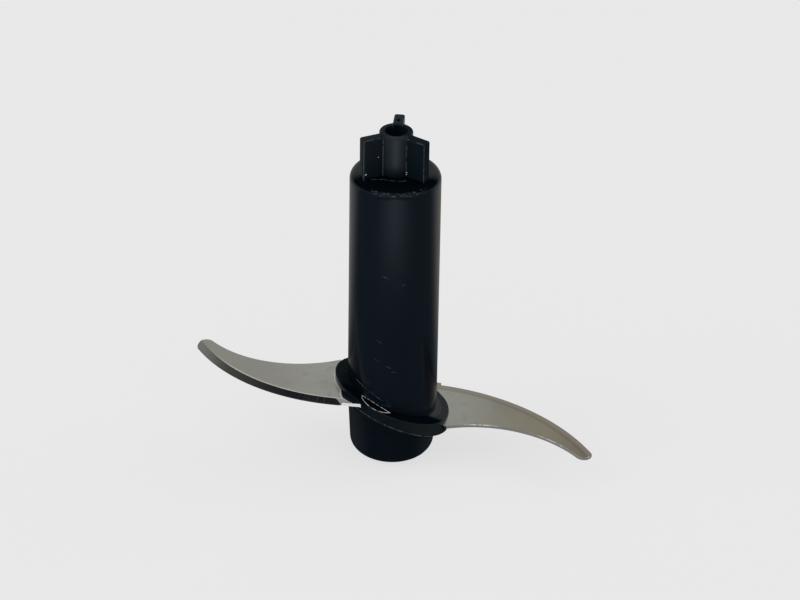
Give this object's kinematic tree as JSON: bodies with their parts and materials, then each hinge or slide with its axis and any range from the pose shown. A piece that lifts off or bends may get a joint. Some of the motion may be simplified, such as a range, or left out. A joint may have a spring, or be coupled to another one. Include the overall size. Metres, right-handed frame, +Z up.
{
  "type": "food processor blade",
  "caption": "Upright chopper blade: tall moulded hub with a star coupling on top and an S-shaped ground steel cutter held in an inclined collar near its foot.",
  "frame": {"origin": "on the hub's axis, at the flat ring the hub stands on", "axes": "+Z up along the hub's axis; the wings reach along X, the higher wing to -X and the lower wing to +X"},
  "size_m": [0.1122, 0.0396, 0.1022],
  "materials": {
    "hub_plastic": "near-black moulded plastic with a gloss, worn pale at the coupling's edges and lightly scratched",
    "blade_steel": "stamped stainless steel with a satin face, a ground bevel along each leading edge and faint stains"
  },
  "bodies": {
    "root": {"hub": "hub_plastic", "s_blade": "blade_steel"}
  },
  "joints": []
}
